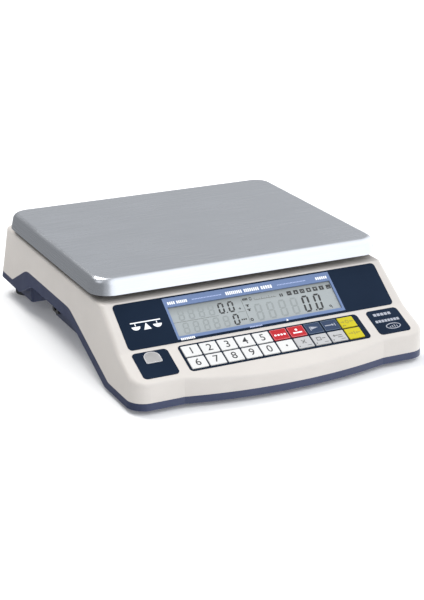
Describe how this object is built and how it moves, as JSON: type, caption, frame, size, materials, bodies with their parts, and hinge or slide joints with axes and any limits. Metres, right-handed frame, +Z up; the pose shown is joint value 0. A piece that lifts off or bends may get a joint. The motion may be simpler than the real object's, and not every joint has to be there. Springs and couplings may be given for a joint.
{
  "type": "counting scale",
  "caption": "Bench counting scale: a flat weighing platter over a low housing with a sloping console of display and keys, on levelling feet.",
  "frame": {"origin": "on the bench plane, under the middle of the scale's bounding box", "axes": "+Z up, +Y towards the back, away from the operator, +X to the operator's right"},
  "size_m": [0.3026, 0.3686, 0.0965],
  "materials": {
    "stainless": "brushed stainless sheet",
    "cast_aluminium": "sand cast, matt",
    "aluminium": "machined, anodised",
    "screw_steel": "zinc plated",
    "rubber": "matt",
    "gauge_white": "potting compound, matt",
    "cream_plastic": "fine moulded texture",
    "navy_plastic": "fine moulded texture",
    "panel_dark": "printed polyester film, semi gloss",
    "frame_blue": "printed film, semi gloss",
    "lcd": "liquid crystal display",
    "backlight": "diffuser",
    "circuit_board": "solder mask",
    "silicone": "matt silicone",
    "window_clear": "clear moulded window",
    "vial": "clear vial with liquid",
    "battery_case": "moulded case",
    "black_plastic": "moulded",
    "ribbon": "flat cable",
    "key_white": "moulded, semi matt",
    "key_red": "moulded, semi matt",
    "key_navy": "moulded, semi matt",
    "key_grey": "moulded, semi matt",
    "key_yellow": "moulded, semi matt"
  },
  "bodies": {
    "housing": {"load_cell": "aluminium", "gauge_cover": "gauge_white", "load_cell_spacer": "aluminium", "load_cell_screws": "screw_steel", "overload_stops": "screw_steel", "upper_housing": "cream_plastic", "lower_housing": "navy_plastic", "housing_screws": "screw_steel", "display_panel": "panel_dark", "lcd_frame": "frame_blue", "lcd_glass": "lcd", "lcd_backlight": "backlight", "console_board": "circuit_board", "keypad_bezel": "panel_dark", "keypad_mat": "silicone", "level_panel": "panel_dark", "level_window": "window_clear", "level_vial": "vial", "accuracy_plate": "panel_dark", "main_board": "circuit_board", "board_screws": "screw_steel", "battery": "battery_case", "battery_door": "navy_plastic", "power_inlet": "black_plastic", "switch_body": "black_plastic", "ribbon_cable": "ribbon"},
    "load_receiver": {"spider": "cast_aluminium", "spider_spacer": "aluminium", "spider_screws": "screw_steel", "platter_pads": "rubber"},
    "platter": {"platter": "stainless"},
    "power_rocker": {"switch_rocker": "black_plastic"},
    "key_1": {"key_1": "key_white"},
    "key_2": {"key_2": "key_white"},
    "key_3": {"key_3": "key_white"},
    "key_4": {"key_4": "key_white"},
    "key_5": {"key_5": "key_white"},
    "key_sample": {"key_sample": "key_red"},
    "key_unit_weight": {"key_unit_weight": "key_red"},
    "key_preset": {"key_preset": "key_navy"},
    "key_pre_tare": {"key_pre_tare": "key_navy"},
    "key_zero": {"key_zero": "key_yellow"},
    "key_6": {"key_6": "key_white"},
    "key_7": {"key_7": "key_white"},
    "key_8": {"key_8": "key_white"},
    "key_9": {"key_9": "key_white"},
    "key_0": {"key_0": "key_white"},
    "key_point": {"key_point": "key_white"},
    "key_clear": {"key_clear": "key_grey"},
    "key_memory": {"key_memory": "key_grey"},
    "key_recall": {"key_recall": "key_grey"},
    "key_tare": {"key_tare": "key_yellow"},
    "foot_pad_front_left": {"foot_pad_front_left": "rubber"},
    "foot_stud_front_left": {"foot_stud_front_left": "screw_steel"},
    "foot_pad_front_right": {"foot_pad_front_right": "rubber"},
    "foot_stud_front_right": {"foot_stud_front_right": "screw_steel"},
    "foot_pad_rear_left": {"foot_pad_rear_left": "rubber"},
    "foot_stud_rear_left": {"foot_stud_rear_left": "screw_steel"},
    "foot_pad_rear_right": {"foot_pad_rear_right": "rubber"},
    "foot_stud_rear_right": {"foot_stud_rear_right": "screw_steel"}
  },
  "joints": [
    {"name": "weighing_deflection", "type": "slide", "parent": "housing", "child": "load_receiver", "axis": [0, 0, 1], "range_m": [-0.0008, 0], "stiffness_N_per_m": 100000, "springref_m": 0.0003, "deforming": ["load_cell"]},
    {"name": "platter_lift_off", "type": "slide", "parent": "load_receiver", "child": "platter", "axis": [0, 0, 1], "range_m": [0, 0.06]},
    {"name": "power_rocker", "type": "hinge", "parent": "housing", "child": "power_rocker", "pos_m": [0.128, 0.022, 0.023], "axis": [0, 0, 1], "range_deg": [0, 16]},
    {"name": "press_key_1", "type": "slide", "parent": "housing", "child": "key_1", "axis": [0, 0.3891, -0.9212], "range_m": [0, 0.0006], "stiffness_N_per_m": 1500, "springref_m": -0.0004},
    {"name": "press_key_2", "type": "slide", "parent": "housing", "child": "key_2", "axis": [0, 0.3891, -0.9212], "range_m": [0, 0.0006], "stiffness_N_per_m": 1500, "springref_m": -0.0004},
    {"name": "press_key_3", "type": "slide", "parent": "housing", "child": "key_3", "axis": [0, 0.3891, -0.9212], "range_m": [0, 0.0006], "stiffness_N_per_m": 1500, "springref_m": -0.0004},
    {"name": "press_key_4", "type": "slide", "parent": "housing", "child": "key_4", "axis": [0, 0.3891, -0.9212], "range_m": [0, 0.0006], "stiffness_N_per_m": 1500, "springref_m": -0.0004},
    {"name": "press_key_5", "type": "slide", "parent": "housing", "child": "key_5", "axis": [0, 0.3891, -0.9212], "range_m": [0, 0.0006], "stiffness_N_per_m": 1500, "springref_m": -0.0004},
    {"name": "press_key_sample", "type": "slide", "parent": "housing", "child": "key_sample", "axis": [0, 0.3891, -0.9212], "range_m": [0, 0.0006], "stiffness_N_per_m": 1500, "springref_m": -0.0004},
    {"name": "press_key_unit_weight", "type": "slide", "parent": "housing", "child": "key_unit_weight", "axis": [0, 0.3891, -0.9212], "range_m": [0, 0.0006], "stiffness_N_per_m": 1500, "springref_m": -0.0004},
    {"name": "press_key_preset", "type": "slide", "parent": "housing", "child": "key_preset", "axis": [0, 0.3891, -0.9212], "range_m": [0, 0.0006], "stiffness_N_per_m": 1500, "springref_m": -0.0004},
    {"name": "press_key_pre_tare", "type": "slide", "parent": "housing", "child": "key_pre_tare", "axis": [0, 0.3891, -0.9212], "range_m": [0, 0.0006], "stiffness_N_per_m": 1500, "springref_m": -0.0004},
    {"name": "press_key_zero", "type": "slide", "parent": "housing", "child": "key_zero", "axis": [0, 0.3891, -0.9212], "range_m": [0, 0.0006], "stiffness_N_per_m": 1500, "springref_m": -0.0004},
    {"name": "press_key_6", "type": "slide", "parent": "housing", "child": "key_6", "axis": [0, 0.3891, -0.9212], "range_m": [0, 0.0006], "stiffness_N_per_m": 1500, "springref_m": -0.0004},
    {"name": "press_key_7", "type": "slide", "parent": "housing", "child": "key_7", "axis": [0, 0.3891, -0.9212], "range_m": [0, 0.0006], "stiffness_N_per_m": 1500, "springref_m": -0.0004},
    {"name": "press_key_8", "type": "slide", "parent": "housing", "child": "key_8", "axis": [0, 0.3891, -0.9212], "range_m": [0, 0.0006], "stiffness_N_per_m": 1500, "springref_m": -0.0004},
    {"name": "press_key_9", "type": "slide", "parent": "housing", "child": "key_9", "axis": [0, 0.3891, -0.9212], "range_m": [0, 0.0006], "stiffness_N_per_m": 1500, "springref_m": -0.0004},
    {"name": "press_key_0", "type": "slide", "parent": "housing", "child": "key_0", "axis": [0, 0.3891, -0.9212], "range_m": [0, 0.0006], "stiffness_N_per_m": 1500, "springref_m": -0.0004},
    {"name": "press_key_point", "type": "slide", "parent": "housing", "child": "key_point", "axis": [0, 0.3891, -0.9212], "range_m": [0, 0.0006], "stiffness_N_per_m": 1500, "springref_m": -0.0004},
    {"name": "press_key_clear", "type": "slide", "parent": "housing", "child": "key_clear", "axis": [0, 0.3891, -0.9212], "range_m": [0, 0.0006], "stiffness_N_per_m": 1500, "springref_m": -0.0004},
    {"name": "press_key_memory", "type": "slide", "parent": "housing", "child": "key_memory", "axis": [0, 0.3891, -0.9212], "range_m": [0, 0.0006], "stiffness_N_per_m": 1500, "springref_m": -0.0004},
    {"name": "press_key_recall", "type": "slide", "parent": "housing", "child": "key_recall", "axis": [0, 0.3891, -0.9212], "range_m": [0, 0.0006], "stiffness_N_per_m": 1500, "springref_m": -0.0004},
    {"name": "press_key_tare", "type": "slide", "parent": "housing", "child": "key_tare", "axis": [0, 0.3891, -0.9212], "range_m": [0, 0.0006], "stiffness_N_per_m": 1500, "springref_m": -0.0004},
    {"name": "foot_height_front_left", "type": "slide", "parent": "housing", "child": "foot_pad_front_left", "axis": [0, 0, -1], "range_m": [0, 0.005]},
    {"name": "foot_turn_front_left", "type": "hinge", "parent": "foot_pad_front_left", "child": "foot_stud_front_left", "pos_m": [-0.118, -0.135, 0.008], "axis": [0, 0, -1], "range_deg": [0, 1440]},
    {"name": "foot_height_front_right", "type": "slide", "parent": "housing", "child": "foot_pad_front_right", "axis": [0, 0, -1], "range_m": [0, 0.005]},
    {"name": "foot_turn_front_right", "type": "hinge", "parent": "foot_pad_front_right", "child": "foot_stud_front_right", "pos_m": [0.118, -0.135, 0.008], "axis": [0, 0, -1], "range_deg": [0, 1440]},
    {"name": "foot_height_rear_left", "type": "slide", "parent": "housing", "child": "foot_pad_rear_left", "axis": [0, 0, -1], "range_m": [0, 0.005]},
    {"name": "foot_turn_rear_left", "type": "hinge", "parent": "foot_pad_rear_left", "child": "foot_stud_rear_left", "pos_m": [-0.126, 0.164, 0.008], "axis": [0, 0, -1], "range_deg": [0, 1440]},
    {"name": "foot_height_rear_right", "type": "slide", "parent": "housing", "child": "foot_pad_rear_right", "axis": [0, 0, -1], "range_m": [0, 0.005]},
    {"name": "foot_turn_rear_right", "type": "hinge", "parent": "foot_pad_rear_right", "child": "foot_stud_rear_right", "pos_m": [0.126, 0.164, 0.008], "axis": [0, 0, -1], "range_deg": [0, 1440]}
  ],
  "couplings": [
    {"joint": "foot_turn_front_left", "follows": "foot_height_front_left", "rad_per_m": 5026.5},
    {"joint": "foot_turn_front_right", "follows": "foot_height_front_right", "rad_per_m": 5026.5},
    {"joint": "foot_turn_rear_left", "follows": "foot_height_rear_left", "rad_per_m": 5026.5},
    {"joint": "foot_turn_rear_right", "follows": "foot_height_rear_right", "rad_per_m": 5026.5}
  ]
}
